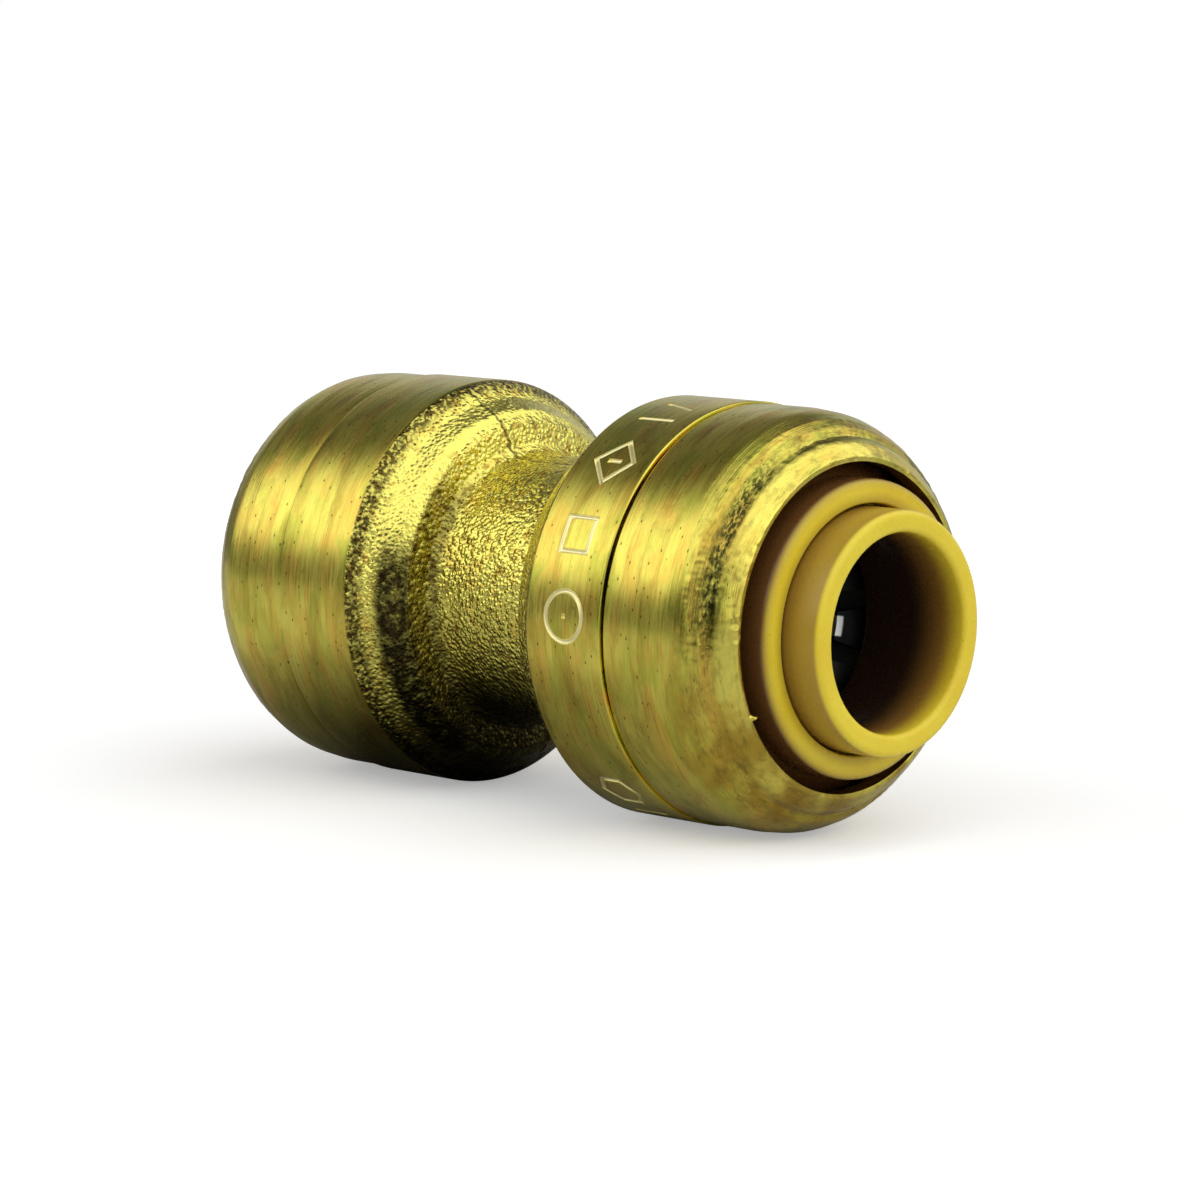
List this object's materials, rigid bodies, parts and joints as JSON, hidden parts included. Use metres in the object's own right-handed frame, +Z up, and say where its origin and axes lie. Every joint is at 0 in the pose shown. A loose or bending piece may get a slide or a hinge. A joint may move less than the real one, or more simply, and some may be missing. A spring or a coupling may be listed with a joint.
{
  "type": "push fit pipe coupling",
  "caption": "Straight brass coupling with a push fit socket at each end: the tube is pushed in past a toothed grab ring and an O-ring, and a sliding collar lets it go.",
  "frame": {"origin": "middle of the brass body on the coupling's axis, at the centre of the tube stop", "axes": "+X along the coupling's axis towards one of its two like ends, +Z up as it lies on a table"},
  "size_m": [0.0428, 0.021, 0.021],
  "materials": {
    "forged_brass": "forged, with turned bands",
    "turned_brass": "turned and brushed",
    "tan_plastic": "moulded, semi-gloss",
    "stainless": "stamped",
    "seal_rubber": "moulded, lubricated",
    "grey_plastic": "moulded"
  },
  "bodies": {
    "root": {"body": "forged_brass", "end_cap_right": "turned_brass", "end_cap_left": "turned_brass", "grab_ring_seat_right": "grey_plastic", "grab_ring_seat_left": "grey_plastic", "o_ring_protector_right": "grey_plastic", "o_ring_protector_left": "grey_plastic", "o_ring_right": "seal_rubber", "o_ring_left": "seal_rubber"},
    "cartridge_right": {"collar_retainer_right": "tan_plastic", "grab_ring_right": "stainless"},
    "cartridge_left": {"collar_retainer_left": "tan_plastic", "grab_ring_left": "stainless"},
    "collar_right": {"release_collar_right": "tan_plastic"},
    "collar_left": {"release_collar_left": "tan_plastic"}
  },
  "joints": [
    {"name": "right_turn", "type": "hinge", "parent": "root", "child": "cartridge_right", "pos_m": [0.0166, 0, 0], "axis": [1, 0, 0], "continuous": true},
    {"name": "left_turn", "type": "hinge", "parent": "root", "child": "cartridge_left", "pos_m": [-0.0166, 0, 0], "axis": [1, 0, 0], "continuous": true},
    {"name": "right_release", "type": "slide", "parent": "cartridge_right", "child": "collar_right", "axis": [-1, 0, 0], "range_m": [0, 0.0021], "deforming": ["grab_ring_right"]},
    {"name": "left_release", "type": "slide", "parent": "cartridge_left", "child": "collar_left", "axis": [1, 0, 0], "range_m": [0, 0.0021], "deforming": ["grab_ring_left"]}
  ]
}
